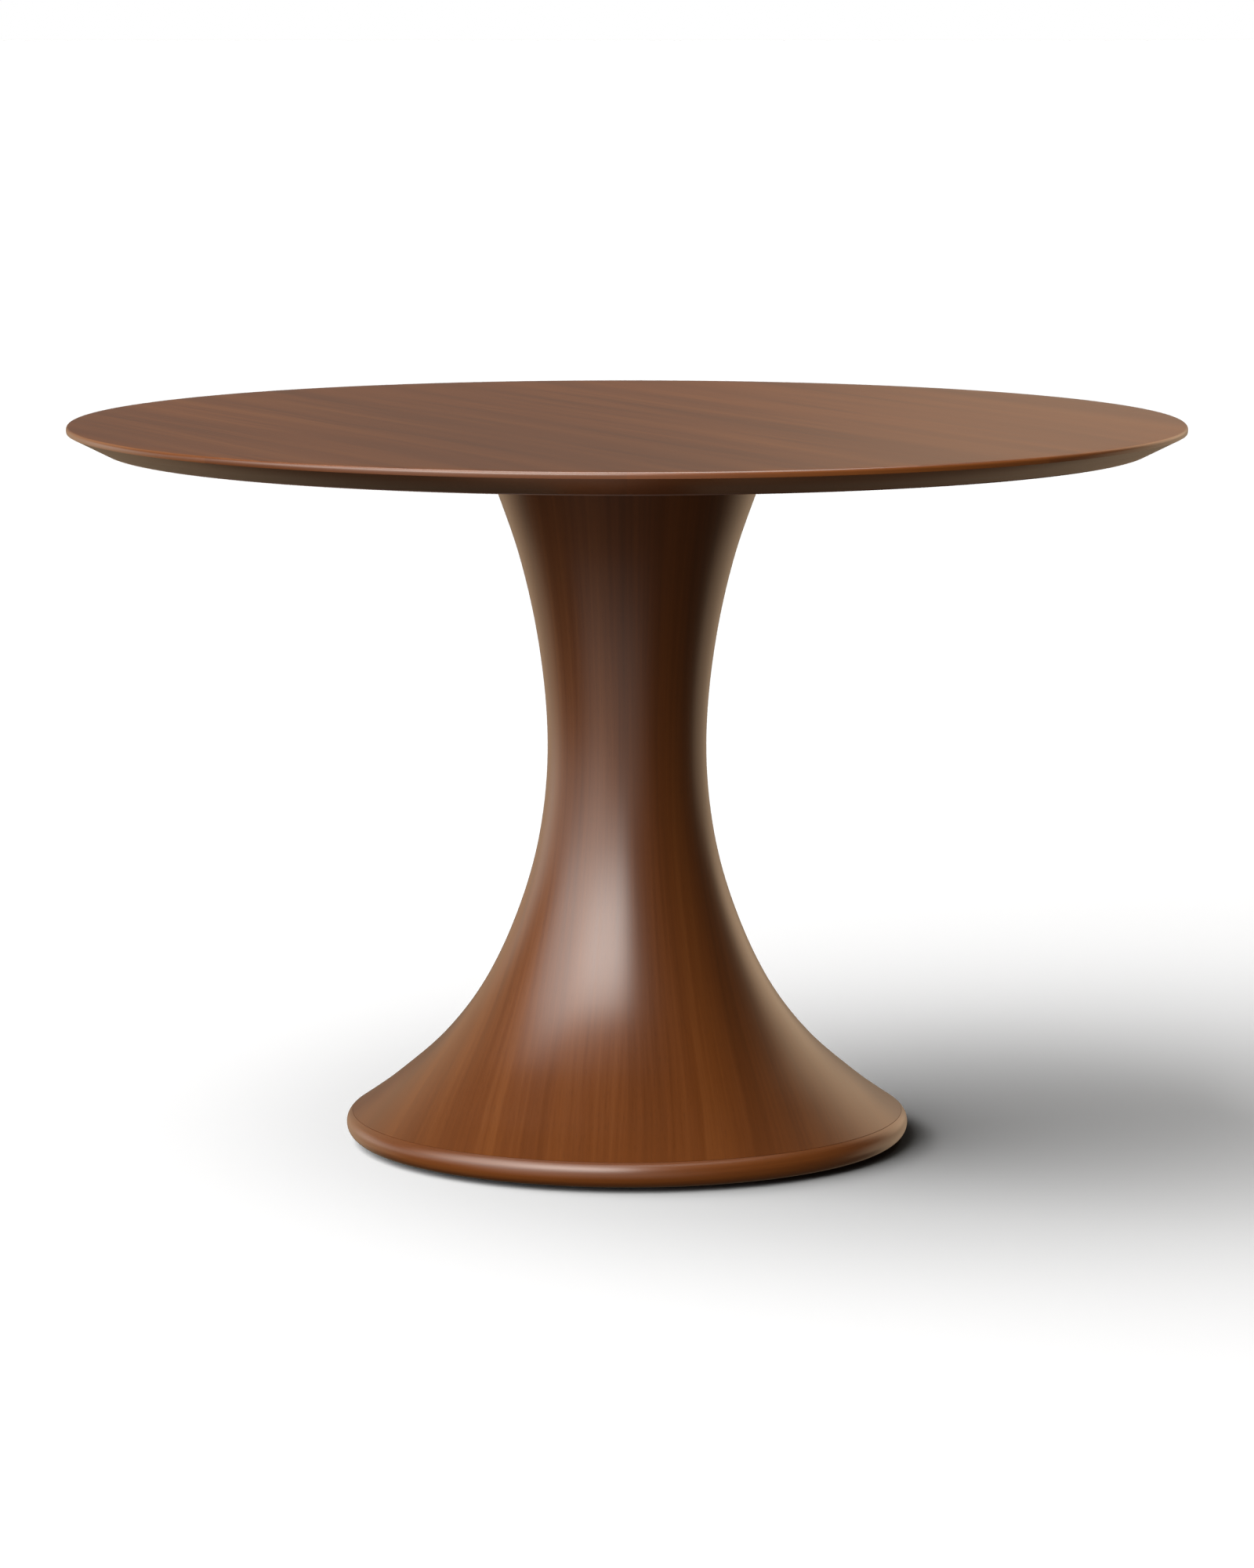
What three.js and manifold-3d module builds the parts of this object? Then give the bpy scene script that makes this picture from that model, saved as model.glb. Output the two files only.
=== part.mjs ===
// Round pedestal table: a thin round top with an undercut edge on a hollow, trumpet-shaped pedestal.
// Millimetres, +Z up. The origin is the centre of the foot, on the floor.

import * as THREE from 'three';
import { mergeGeometries, mergeVertices } from 'three/addons/utils/BufferGeometryUtils.js';
import Module from 'manifold-3d';

const wasm = await Module();
wasm.setup();

// ---- driving dimensions ----

const TABLE_HEIGHT = 762;
const TOP_RADIUS = 585;
const TOP_THICKNESS = 26;
const FACE_VENEER = 1;              // thickness of the veneers on the top's two faces
const ARRIS = 3;                    // how far the small rounded edge comes in on the face
const WIDEST_BELOW_FACE = 3.6;      // depth of the widest circle under the face
const BEVEL_START_BELOW_FACE = 6.6; // where the undercut bevel leaves the edge
const EDGE_BELOW_FACE = [5, 2];     // more points of the rounded edge, under and above the widest circle
const BEVEL_END_RADIUS = 546;       // where the bevel meets the underside
const LIPPING_INNER_RADIUS = 525;
const LIPPING_COUNT = 8;

const BOARD = 18;                   // thickness of every flat board
const MOUNTING_RADIUS = 270;
const MOUNTING_BEVEL = 20;
const MOUNTING_EDGE = 6;            // upright part of the mounting disc's edge

const FLOOR_GAP = 5;                // the foot stands this far above the floor on its screw feet
const NOSE_RADIUS = 15;             // half-round nose of the foot
const FOOT_RADIUS = 297.7;
const RING_TOP = 32;
const RING_INNER_RADIUS = 262;
const STAVE_COUNT = 8;
const STAVE_THICKNESS = 14;

// Outline of the pedestal as [height, radius], from the ring up to the mounting disc.
const PEDESTAL_OUTLINE = [
  [32, 291.5], [60, 252.2], [110, 195.1], [170, 150], [250, 113.5],
  [330, 91.8], [420, 83.7], [520, 91.5], [620, 112.6], [718, 146.5],
];

const UPPER_RIB_HEIGHT = 571;
const WAIST_RIB_HEIGHT = 411;
const LOWER_RIB_HEIGHT = 101;
const BALLAST_RADIUS = 205;
const BALLAST_THICKNESS = 12;

const BOLT_COUNT = 6;
const BOLT_CIRCLE_RADIUS = 225;
const BOLT = { radius: 4, length: 30 };
const BOLT_HEAD = { radius: 7, shoulderRadius: 6.3, faceRadius: 3.85, height: 4.4, shoulder: 1.8 };
const BOLT_SOCKET = { flats: 5, depth: 2.6 };
const INSERT = { radius: 6, length: 15, bore: 4.2 };

const ROD_RADIUS = 6;
const WASHER = { radius: 12, thickness: 2.5 };
const NUT = { flats: 19, bore: 6.15, height: 10, thinHeight: 6 };
const COUNTERBORE = { radius: 17, depth: 12 };

const FOOT_COUNT = 4;
const FOOT_CIRCLE_RADIUS = 240;
const PAD = { radius: 19, baseRadius: 17, height: 4.5, edge: 1.5, socketRadius: 5.4, socketFloor: 2 };
const STEM = { radius: 4, ballRadius: 5, bottom: 2.3, ballTop: 4.3, top: 38, chamfer: 1 };
const COLLAR = { flats: 12, bottom: 5.2, top: 9.2 };
const TNUT = { flangeRadius: 11.5, flange: 1.5, radius: 5.5, bore: 4.2, length: 11, recess: 5 };

const GLUE_GAP = 0.2;               // between a piece and the board or edge it is glued to
const HOLE_CLEARANCE = 0.5;         // round a rod or bolt that passes through
const SEAM_GAP = 0.2;               // between neighbouring staves and lippings
const OVERSHOOT = 1;                // how far a cutting bar runs out of the piece it cuts

const TOP_SEGMENTS = 72;
const PEDESTAL_SEGMENTS = 48;
const SMALL_SEGMENTS = 16;
const STAVE_ROWS = 16;
const STAVE_ROW_GROWTH = 1.25;      // above 1 the rows are closer together at the foot's strong flare
const NOSE_STEPS = 8;

// ---- derived heights ----

const FACE = TABLE_HEIGHT;
const CORE_TOP = FACE - FACE_VENEER;
const TOP_UNDERSIDE = FACE - TOP_THICKNESS;
const CORE_BOTTOM = TOP_UNDERSIDE + FACE_VENEER;
const MOUNTING_BOTTOM = TOP_UNDERSIDE - BOARD;
const BASE_TOP = FLOOR_GAP + BOARD;
const BALLAST_TOP = BASE_TOP + BALLAST_THICKNESS;

// ---- materials ----

function finish(color, roughness, metalness) {
  return new THREE.MeshStandardMaterial({ color, roughness, metalness });
}

const WALNUT = finish(0x6b4630, 0.35, 0);
const WALNUT_DARK = finish(0x573622, 0.35, 0);
const PLYWOOD = finish(0xc9a878, 0.7, 0);
const FIBREBOARD = finish(0xa9825a, 0.8, 0);
const ZINC = finish(0xb9bcc0, 0.35, 1);
const DARK_STEEL = finish(0x3a3c40, 0.5, 1);
const NYLON = finish(0x2b2b2d, 0.5, 0);

// ---- geometry helpers ----

function point(x, y) {
  return new THREE.Vector2(x, y);
}

// Leaves only shared positions, so that the surface is closed, and drops triangles of no area.
function closed(geometry) {
  geometry.deleteAttribute('normal');
  geometry.deleteAttribute('uv');
  const merged = mergeVertices(geometry, 1e-3);
  const index = merged.index.array;
  const kept = [];
  for (let i = 0; i < index.length; i += 3) {
    const [a, b, c] = [index[i], index[i + 1], index[i + 2]];
    if (a !== b && b !== c && c !== a) kept.push(a, b, c);
  }
  merged.setIndex(kept);
  return merged;
}

// Turns an outline of (radius, height) points, anticlockwise, about the Z axis.
function turned(outline, segments) {
  const onAxis = outline[0].x === 0 && outline.at(-1).x === 0;
  const profile = onAxis ? outline : [...outline, outline[0]];
  return closed(new THREE.LatheGeometry(profile, segments).rotateX(Math.PI / 2));
}

// Turns a closed outline through part of a circle and closes both ends.
function turnedArc(outline, start, sweep, segments) {
  const walls = new THREE.LatheGeometry([...outline, outline[0]], segments, start, sweep);
  const startCap = new THREE.ShapeGeometry(new THREE.Shape(outline)).rotateY(start - Math.PI / 2);
  const endCap = new THREE.ShapeGeometry(new THREE.Shape(outline)).rotateY(start + sweep - Math.PI / 2);
  const index = endCap.index.array;
  for (let i = 0; i < index.length; i += 3) [index[i + 1], index[i + 2]] = [index[i + 2], index[i + 1]];
  return closed(mergeGeometries([walls, startCap, endCap]).rotateX(Math.PI / 2));
}

// A round bar, or a tube when a bore is given, standing on z = bottom.
function bar(radius, bottom, top, bore = 0, segments = SMALL_SEGMENTS) {
  return turned([point(bore, bottom), point(radius, bottom), point(radius, top), point(bore, top)], segments);
}

// A hexagonal bar, measured across its flats.
function hexBar(flats, bottom, top) {
  return bar(flats / Math.sqrt(3), bottom, top, 0, 6);
}

function moved(geometry, x, y) {
  return geometry.clone().translate(x, y, 0);
}

function toSolid(geometry) {
  const vertProperties = geometry.attributes.position.array;
  const triVerts = new Uint32Array(geometry.index.array);
  return new wasm.Manifold(new wasm.Mesh({ numProp: 3, vertProperties, triVerts }));
}

function fromSolid(solid) {
  const mesh = solid.getMesh();
  const geometry = new THREE.BufferGeometry();
  geometry.setAttribute('position', new THREE.BufferAttribute(mesh.vertProperties, 3));
  geometry.setIndex(new THREE.BufferAttribute(mesh.triVerts, 1));
  return geometry;
}

function cut(geometry, tools) {
  return fromSolid(tools.reduce((solid, tool) => solid.subtract(toSolid(tool)), toSolid(geometry)));
}

function joined(first, second) {
  return fromSolid(toSolid(first).add(toSolid(second)));
}

// Places on a circle, the first one turned by half a step from +X.
function circlePlaces(count, radius) {
  return Array.from({ length: count }, (_, i) => {
    const angle = (i + 0.5) * 2 * Math.PI / count;
    return { x: radius * Math.cos(angle), y: radius * Math.sin(angle) };
  });
}

// ---- the pedestal's outline ----

// Slope of the outline at one of its points, from its neighbours on both sides.
function outlineSlope(i) {
  const [lowHeight, lowRadius] = PEDESTAL_OUTLINE[Math.max(i - 1, 0)];
  const [highHeight, highRadius] = PEDESTAL_OUTLINE[Math.min(i + 1, PEDESTAL_OUTLINE.length - 1)];
  return (highRadius - lowRadius) / (highHeight - lowHeight);
}

// Radius and slope of the outer face at a height: a smooth cubic through the outline's points.
function pedestalFace(height) {
  const last = PEDESTAL_OUTLINE.length - 2;
  const found = PEDESTAL_OUTLINE.findIndex(([z], i) => i > 0 && height <= z) - 1;
  const i = found < 0 ? last : found;
  const [z0, r0] = PEDESTAL_OUTLINE[i];
  const [z1, r1] = PEDESTAL_OUTLINE[i + 1];
  const span = z1 - z0;
  const t = (height - z0) / span;
  const m0 = outlineSlope(i) * span;
  const m1 = outlineSlope(i + 1) * span;
  const radius = (2 * t ** 3 - 3 * t ** 2 + 1) * r0 + (t ** 3 - 2 * t ** 2 + t) * m0
    + (3 * t ** 2 - 2 * t ** 3) * r1 + (t ** 3 - t ** 2) * m1;
  const rise = (6 * t ** 2 - 6 * t) * (r0 - r1) + (3 * t ** 2 - 4 * t + 1) * m0 + (3 * t ** 2 - 2 * t) * m1;
  return { radius, slope: rise / span };
}

function pedestalInside(height) {
  const { radius, slope } = pedestalFace(height);
  return radius - STAVE_THICKNESS * Math.hypot(1, slope);
}

// ---- pieces ----

const table = new THREE.Group();

function add(name, geometry, material, parent = table) {
  const mesh = new THREE.Mesh(geometry, material);
  mesh.name = name;
  parent.add(mesh);
  return mesh;
}

// Radius of the top's edge between the face and the bevel: part of a flat ellipse.
function edgeRadius(belowFace) {
  const reach = belowFace < WIDEST_BELOW_FACE ? WIDEST_BELOW_FACE : 2 * WIDEST_BELOW_FACE;
  const away = (belowFace - WIDEST_BELOW_FACE) / reach;
  return TOP_RADIUS - ARRIS * (1 - Math.sqrt(1 - away ** 2));
}

function addTop() {
  const faceEdge = edgeRadius(FACE_VENEER) - GLUE_GAP;
  add('top_face_veneer', turned([point(0, CORE_TOP), point(faceEdge, CORE_TOP),
    point(TOP_RADIUS - ARRIS, FACE), point(0, FACE)], TOP_SEGMENTS), WALNUT);

  const bolts = circlePlaces(BOLT_COUNT, BOLT_CIRCLE_RADIUS);
  const holeTop = CORE_BOTTOM + INSERT.length + OVERSHOOT;
  const insertHole = bar(INSERT.radius + GLUE_GAP, TOP_UNDERSIDE - OVERSHOOT, holeTop);
  const insertHoles = bolts.map(({ x, y }) => moved(insertHole, x, y));
  const core = bar(LIPPING_INNER_RADIUS - GLUE_GAP, CORE_BOTTOM, CORE_TOP, 0, TOP_SEGMENTS);
  add('top_core_panel', cut(core, insertHoles), FIBREBOARD);
  const balance = bar(BEVEL_END_RADIUS, TOP_UNDERSIDE, CORE_BOTTOM, 0, TOP_SEGMENTS);
  add('top_balance_veneer', cut(balance, insertHoles), WALNUT_DARK);

  const bevelReach = edgeRadius(BEVEL_START_BELOW_FACE) - BEVEL_END_RADIUS;
  const bevelRise = TOP_THICKNESS - BEVEL_START_BELOW_FACE;
  const [underEdge, upperEdge] = EDGE_BELOW_FACE;
  const outline = [
    point(LIPPING_INNER_RADIUS, CORE_BOTTOM),
    point(BEVEL_END_RADIUS + FACE_VENEER * bevelReach / bevelRise, CORE_BOTTOM),
    point(edgeRadius(BEVEL_START_BELOW_FACE), FACE - BEVEL_START_BELOW_FACE),
    point(edgeRadius(underEdge), FACE - underEdge),
    point(TOP_RADIUS, FACE - WIDEST_BELOW_FACE),
    point(edgeRadius(upperEdge), FACE - upperEdge),
    point(edgeRadius(FACE_VENEER), CORE_TOP),
    point(LIPPING_INNER_RADIUS, CORE_TOP),
  ];
  const step = 2 * Math.PI / LIPPING_COUNT;
  const gap = SEAM_GAP / LIPPING_INNER_RADIUS;
  const segments = TOP_SEGMENTS / LIPPING_COUNT;
  for (let i = 0; i < LIPPING_COUNT; i++) {
    add(`edge_lipping_${i + 1}`, turnedArc(outline, i * step + gap / 2, step - gap, segments), WALNUT);
  }

  const insert = bar(INSERT.radius, CORE_BOTTOM, CORE_BOTTOM + INSERT.length, INSERT.bore);
  bolts.forEach(({ x, y }, i) => add(`threaded_insert_${i + 1}`, moved(insert, x, y), ZINC));
}

function addMountingDisc() {
  const bolts = circlePlaces(BOLT_COUNT, BOLT_CIRCLE_RADIUS);
  const outline = [
    point(0, MOUNTING_BOTTOM),
    point(MOUNTING_RADIUS - MOUNTING_BEVEL, MOUNTING_BOTTOM),
    point(MOUNTING_RADIUS, TOP_UNDERSIDE - MOUNTING_EDGE),
    point(MOUNTING_RADIUS, TOP_UNDERSIDE),
    point(0, TOP_UNDERSIDE),
  ];
  const holeBottom = MOUNTING_BOTTOM - OVERSHOOT;
  const holeTop = TOP_UNDERSIDE + OVERSHOOT;
  const boltHole = bar(BOLT.radius + HOLE_CLEARANCE, holeBottom, holeTop);
  const rodHole = bar(ROD_RADIUS + HOLE_CLEARANCE, holeBottom, holeTop);
  const nutHole = bar(COUNTERBORE.radius, TOP_UNDERSIDE - COUNTERBORE.depth, holeTop);
  const holes = [rodHole, nutHole, ...bolts.map(({ x, y }) => moved(boltHole, x, y))];
  add('mounting_disc', cut(turned(outline, PEDESTAL_SEGMENTS), holes), PLYWOOD);

  const headBottom = MOUNTING_BOTTOM - BOLT_HEAD.height;
  const body = turned([
    point(0, headBottom),
    point(BOLT_HEAD.faceRadius, headBottom),
    point(BOLT_HEAD.shoulderRadius, headBottom + BOLT_HEAD.shoulder),
    point(BOLT_HEAD.radius, MOUNTING_BOTTOM),
    point(BOLT.radius, MOUNTING_BOTTOM),
    point(BOLT.radius, MOUNTING_BOTTOM + BOLT.length),
    point(0, MOUNTING_BOTTOM + BOLT.length),
  ], SMALL_SEGMENTS);
  const socket = hexBar(BOLT_SOCKET.flats, headBottom - OVERSHOOT, headBottom + BOLT_SOCKET.depth);
  const bolt = cut(body, [socket]);
  bolts.forEach(({ x, y }, i) => add(`top_bolt_${i + 1}`, moved(bolt, x, y), ZINC));
}

function addStaves() {
  const heights = Array.from({ length: STAVE_ROWS + 1 }, (_, i) => {
    return RING_TOP + (MOUNTING_BOTTOM - RING_TOP) * (i / STAVE_ROWS) ** STAVE_ROW_GROWTH;
  });
  const outside = heights.map((z) => point(pedestalFace(z).radius, z));
  const inside = heights.map((z) => point(pedestalInside(z), z)).reverse();
  const narrowest = Math.min(...inside.map(({ x }) => x));
  const step = 2 * Math.PI / STAVE_COUNT;
  const gap = SEAM_GAP / narrowest;
  const segments = PEDESTAL_SEGMENTS / STAVE_COUNT;
  for (let i = 0; i < STAVE_COUNT; i++) {
    const stave = turnedArc([...outside, ...inside], i * step + gap / 2, step - gap, segments);
    add(`pedestal_stave_${i + 1}`, stave, i % 2 ? WALNUT : WALNUT_DARK);
  }
}

// A board inside the staves, its edge sloped to follow them.
function addRib(name, bottom) {
  const outline = [
    point(ROD_RADIUS + HOLE_CLEARANCE, bottom),
    point(pedestalInside(bottom) - GLUE_GAP, bottom),
    point(pedestalInside(bottom + BOARD) - GLUE_GAP, bottom + BOARD),
    point(ROD_RADIUS + HOLE_CLEARANCE, bottom + BOARD),
  ];
  add(name, turned(outline, PEDESTAL_SEGMENTS), PLYWOOD);
}

function addBase() {
  const noseCentre = point(FOOT_RADIUS - NOSE_RADIUS, FLOOR_GAP + NOSE_RADIUS);
  const noseEnd = Math.asin((RING_TOP - noseCentre.y) / NOSE_RADIUS);
  const nose = Array.from({ length: NOSE_STEPS + 1 }, (_, i) => {
    const angle = -Math.PI / 2 + (noseEnd + Math.PI / 2) * i / NOSE_STEPS;
    return point(noseCentre.x + NOSE_RADIUS * Math.cos(angle), noseCentre.y + NOSE_RADIUS * Math.sin(angle));
  });
  const ring = [point(RING_INNER_RADIUS, FLOOR_GAP), ...nose, point(RING_INNER_RADIUS, RING_TOP)];
  add('base_ring', turned(ring, PEDESTAL_SEGMENTS), WALNUT_DARK);

  const feet = circlePlaces(FOOT_COUNT, FOOT_CIRCLE_RADIUS);
  const recessTop = FLOOR_GAP + TNUT.recess + TNUT.flange;
  const holeBottom = FLOOR_GAP - OVERSHOOT;
  const holeTop = BASE_TOP + OVERSHOOT;
  const recess = bar(TNUT.flangeRadius + HOLE_CLEARANCE, holeBottom, recessTop);
  const barrelHole = bar(TNUT.radius + GLUE_GAP, holeBottom, holeTop);
  const footHoles = feet.flatMap(({ x, y }) => [moved(recess, x, y), moved(barrelHole, x, y)]);
  const rodHole = bar(ROD_RADIUS + HOLE_CLEARANCE, holeBottom, holeTop);
  const nutHole = bar(COUNTERBORE.radius, holeBottom, FLOOR_GAP + COUNTERBORE.depth);
  const board = bar(RING_INNER_RADIUS - GLUE_GAP, FLOOR_GAP, BASE_TOP, 0, PEDESTAL_SEGMENTS);
  add('base_board', cut(board, [rodHole, nutHole, ...footHoles]), PLYWOOD);

  const ballast = bar(BALLAST_RADIUS, BASE_TOP, BALLAST_TOP, ROD_RADIUS + HOLE_CLEARANCE, PEDESTAL_SEGMENTS);
  add('ballast_plate', ballast, DARK_STEEL);
}

function addTieRod() {
  const topSeat = TOP_UNDERSIDE - COUNTERBORE.depth;
  const bottomSeat = FLOOR_GAP + COUNTERBORE.depth;
  const endClearance = 1.5;
  add('tie_rod', bar(ROD_RADIUS, FLOOR_GAP + endClearance, TOP_UNDERSIDE - endClearance), ZINC);

  const washerBore = ROD_RADIUS + HOLE_CLEARANCE;
  function addNutAndWasher(place, seat, direction, nutHeight) {
    const washerEnd = seat + direction * WASHER.thickness;
    const nutEnd = washerEnd + direction * nutHeight;
    const washer = bar(WASHER.radius, Math.min(seat, washerEnd), Math.max(seat, washerEnd), washerBore);
    add(`tie_washer_${place}`, washer, ZINC);
    const bottom = Math.min(washerEnd, nutEnd);
    const top = Math.max(washerEnd, nutEnd);
    const hole = bar(NUT.bore, bottom - OVERSHOOT, top + OVERSHOOT);
    add(`tie_nut_${place}`, cut(hexBar(NUT.flats, bottom, top), [hole]), ZINC);
  }
  addNutAndWasher('top', topSeat, 1, NUT.thinHeight);
  addNutAndWasher('ballast', BALLAST_TOP, 1, NUT.height);
  addNutAndWasher('bottom', bottomSeat, -1, NUT.thinHeight);
}

// A swivelling nylon pad on a threaded stem, which turns in a T-nut in the base board.
function addLevellers() {
  const pad = turned([
    point(0, 0),
    point(PAD.baseRadius, 0),
    point(PAD.radius, PAD.edge),
    point(PAD.radius, PAD.height - PAD.edge),
    point(PAD.baseRadius, PAD.height),
    point(PAD.socketRadius, PAD.height),
    point(PAD.socketRadius, PAD.socketFloor),
    point(0, PAD.socketFloor),
  ], SMALL_SEGMENTS);
  const spindle = turned([
    point(0, STEM.bottom),
    point(STEM.ballRadius, STEM.bottom),
    point(STEM.ballRadius, STEM.ballTop),
    point(STEM.radius, STEM.ballTop),
    point(STEM.radius, STEM.top - STEM.chamfer),
    point(STEM.radius - STEM.chamfer, STEM.top),
    point(0, STEM.top),
  ], SMALL_SEGMENTS);
  const stem = joined(spindle, hexBar(COLLAR.flats, COLLAR.bottom, COLLAR.top));
  const flangeBottom = FLOOR_GAP + TNUT.recess;
  const tnut = turned([
    point(TNUT.bore, flangeBottom),
    point(TNUT.flangeRadius, flangeBottom),
    point(TNUT.flangeRadius, flangeBottom + TNUT.flange),
    point(TNUT.radius, flangeBottom + TNUT.flange),
    point(TNUT.radius, flangeBottom + TNUT.length),
    point(TNUT.bore, flangeBottom + TNUT.length),
  ], SMALL_SEGMENTS);
  circlePlaces(FOOT_COUNT, FOOT_CIRCLE_RADIUS).forEach(({ x, y }, i) => {
    add(`leveller_pad_${i + 1}`, moved(pad, x, y), NYLON);
    add(`leveller_stem_${i + 1}`, moved(stem, x, y), ZINC);
    add(`leveller_tnut_${i + 1}`, moved(tnut, x, y), ZINC);
  });
}

addTop();
addMountingDisc();
addStaves();
addRib('neck_board', MOUNTING_BOTTOM - BOARD);
addRib('upper_rib', UPPER_RIB_HEIGHT);
addRib('waist_rib', WAIST_RIB_HEIGHT);
addRib('lower_rib', LOWER_RIB_HEIGHT);
addBase();
addTieRod();
addLevellers();

export default table;
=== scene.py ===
"""Round pedestal table: the looks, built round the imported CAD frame. Metres, +Z up."""

import math

import bpy
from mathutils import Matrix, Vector


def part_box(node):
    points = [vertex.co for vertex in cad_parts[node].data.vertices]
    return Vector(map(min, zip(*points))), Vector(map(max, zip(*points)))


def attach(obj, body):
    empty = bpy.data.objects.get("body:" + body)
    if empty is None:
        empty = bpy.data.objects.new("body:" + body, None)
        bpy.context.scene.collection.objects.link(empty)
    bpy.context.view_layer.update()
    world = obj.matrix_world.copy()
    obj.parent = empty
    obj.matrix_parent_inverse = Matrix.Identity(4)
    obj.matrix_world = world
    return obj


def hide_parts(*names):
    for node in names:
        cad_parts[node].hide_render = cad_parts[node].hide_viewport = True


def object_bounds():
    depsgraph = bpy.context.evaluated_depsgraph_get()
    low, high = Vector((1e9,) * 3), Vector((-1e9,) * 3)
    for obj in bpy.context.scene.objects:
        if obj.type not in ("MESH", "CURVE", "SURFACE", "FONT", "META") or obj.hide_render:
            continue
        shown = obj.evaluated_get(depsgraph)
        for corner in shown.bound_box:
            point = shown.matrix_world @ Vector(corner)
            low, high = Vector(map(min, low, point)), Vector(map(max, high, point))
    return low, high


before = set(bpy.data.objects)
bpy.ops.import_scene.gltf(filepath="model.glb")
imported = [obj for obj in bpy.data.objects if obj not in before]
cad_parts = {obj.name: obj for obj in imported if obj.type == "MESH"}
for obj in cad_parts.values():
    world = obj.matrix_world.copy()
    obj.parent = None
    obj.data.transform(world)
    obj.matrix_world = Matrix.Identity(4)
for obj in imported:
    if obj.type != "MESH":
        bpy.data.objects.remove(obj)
cad_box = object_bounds()

MM = 0.001

# ---- sizes that the frame gives ----


def low(node):
    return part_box(node)[0]


def high(node):
    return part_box(node)[1]


def middle(node):
    return (low(node) + high(node)) / 2


FACE = high("top_face_veneer").z
CORE_TOP = high("top_core_panel").z
CORE_BOTTOM = low("top_core_panel").z
CORE_RADIUS = high("top_core_panel").x
UNDERSIDE = low("top_balance_veneer").z
TOP_RADIUS = cad_box[1].x
BEVEL_END_RADIUS = high("top_balance_veneer").x
MOUNTING_BOTTOM = low("mounting_disc").z
MOUNTING_RADIUS = high("mounting_disc").x
RING_TOP = high("base_ring").z
RING_BOTTOM = low("base_ring").z
FOOT_RADIUS = high("base_ring").x
BOARD_TOP = high("base_board").z
BOARD_RADIUS = high("base_board").x

# ---- sizes that repeat the CAD part's ----

ARRIS = 3 * MM
WIDEST_BELOW_FACE = 3.6 * MM
BEVEL_START_BELOW_FACE = 6.6 * MM
LIPPING_COUNT = 8
STAVE_COUNT = 8
STAVE_THICKNESS = 14 * MM
NOSE_RADIUS = 15 * MM
PEDESTAL_OUTLINE = [  # height and radius
    (0.032, 0.2915), (0.060, 0.2522), (0.110, 0.1951), (0.170, 0.1500), (0.250, 0.1135),
    (0.330, 0.0918), (0.420, 0.0837), (0.520, 0.0915), (0.620, 0.1126), (0.718, 0.1465),
]
MOUNTING_BEVEL = 20 * MM
MOUNTING_EDGE = 6 * MM
BOLT_COUNT = 6
BOLT_RADIUS = 4 * MM
BOLT_HEAD_HEIGHT = 4.4 * MM
BOLT_SOCKET_FLATS = 5 * MM
BOLT_SOCKET_DEPTH = 2.6 * MM
INSERT_BORE = 4.2 * MM
ROD_HOLE_RADIUS = 6.5 * MM
NUT_FLATS = 19 * MM
NUT_BORE = 6.15 * MM
COUNTERBORE_RADIUS = 17 * MM
COUNTERBORE_DEPTH = 12 * MM
FOOT_COUNT = 4
PAD_SOCKET_RADIUS = 5.4 * MM
PAD_SOCKET_FLOOR = 2 * MM
BALL_RADIUS = 5 * MM
BALL_TOP = 4.3 * MM
STEM_RADIUS = 4 * MM
COLLAR_FLATS = 12 * MM
COLLAR_BOTTOM = 5.2 * MM
COLLAR_TOP = 9.2 * MM
SCREW_PITCH = 1.25 * MM
THREAD_DEPTH = 0.7 * MM
TNUT_RADIUS = 5.5 * MM
TNUT_BORE = 4.2 * MM
TNUT_FLANGE = 1.5 * MM
GLUE_GAP = 0.2 * MM
HOLE_CLEARANCE = 0.5 * MM
JOINT_CHAMFER = 0.35 * MM        # on both sides of the joint between the ring and the staves

# ---- small details that only the looks have ----

NUT_FACE = 0.48                  # radius of a nut's round end face, as a share of its flats
NUT_CHAMFER = 30                 # degrees
BOLT_HEAD_FLAT = 0.55            # flat middle of a bolt head, as a share of its radius
WASHER_EDGE = 0.3 * MM
FLANGE_EDGE = 0.4 * MM
PAD_EDGE = 1.5 * MM
THREAD_ROWS = 8                  # rows of points to one turn of the thread

# ---- fineness of the surfaces ----

TOP_STEPS = 384
PEDESTAL_STEPS = 192
STAVE_ROWS = 80
STAVE_ROW_SPREAD = 1.2           # above 1 the rows are closer together towards the foot
FACE_RINGS = (0.95, 0.75, 0.5, 0.25)
SMALL_STEPS = 48
SMOOTH_TURN = math.radians(35)   # a sharper turn shows as an edge
LEVEL = 0.999                    # a normal's Z above which its face counts as level


# ---- mesh helpers ----

def side_normals(outline, is_closed):
    """For each side of an outline of (radius, height) points, its outward normals at both ends.
    Neighbouring sides that turn gently share a normal, so that the surface is smooth there."""
    count = len(outline) if is_closed else len(outline) - 1
    flat = []
    for i in range(count):
        along = Vector(outline[(i + 1) % len(outline)]) - Vector(outline[i])
        flat.append(Vector((along.y, -along.x)).normalized())
    shared = []
    for i, normal in enumerate(flat):
        ends = []
        for neighbour in (i - 1, i + 1):
            is_there = is_closed or 0 <= neighbour < count
            other = flat[neighbour % count] if is_there else normal
            is_gentle = normal.angle(other, 0) < SMOOTH_TURN
            ends.append((normal + other).normalized() if is_gentle else normal)
        shared.append(ends)
    return shared


def spun(angle, radius, height):
    return Vector((radius * math.cos(angle), radius * math.sin(angle), height))


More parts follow.
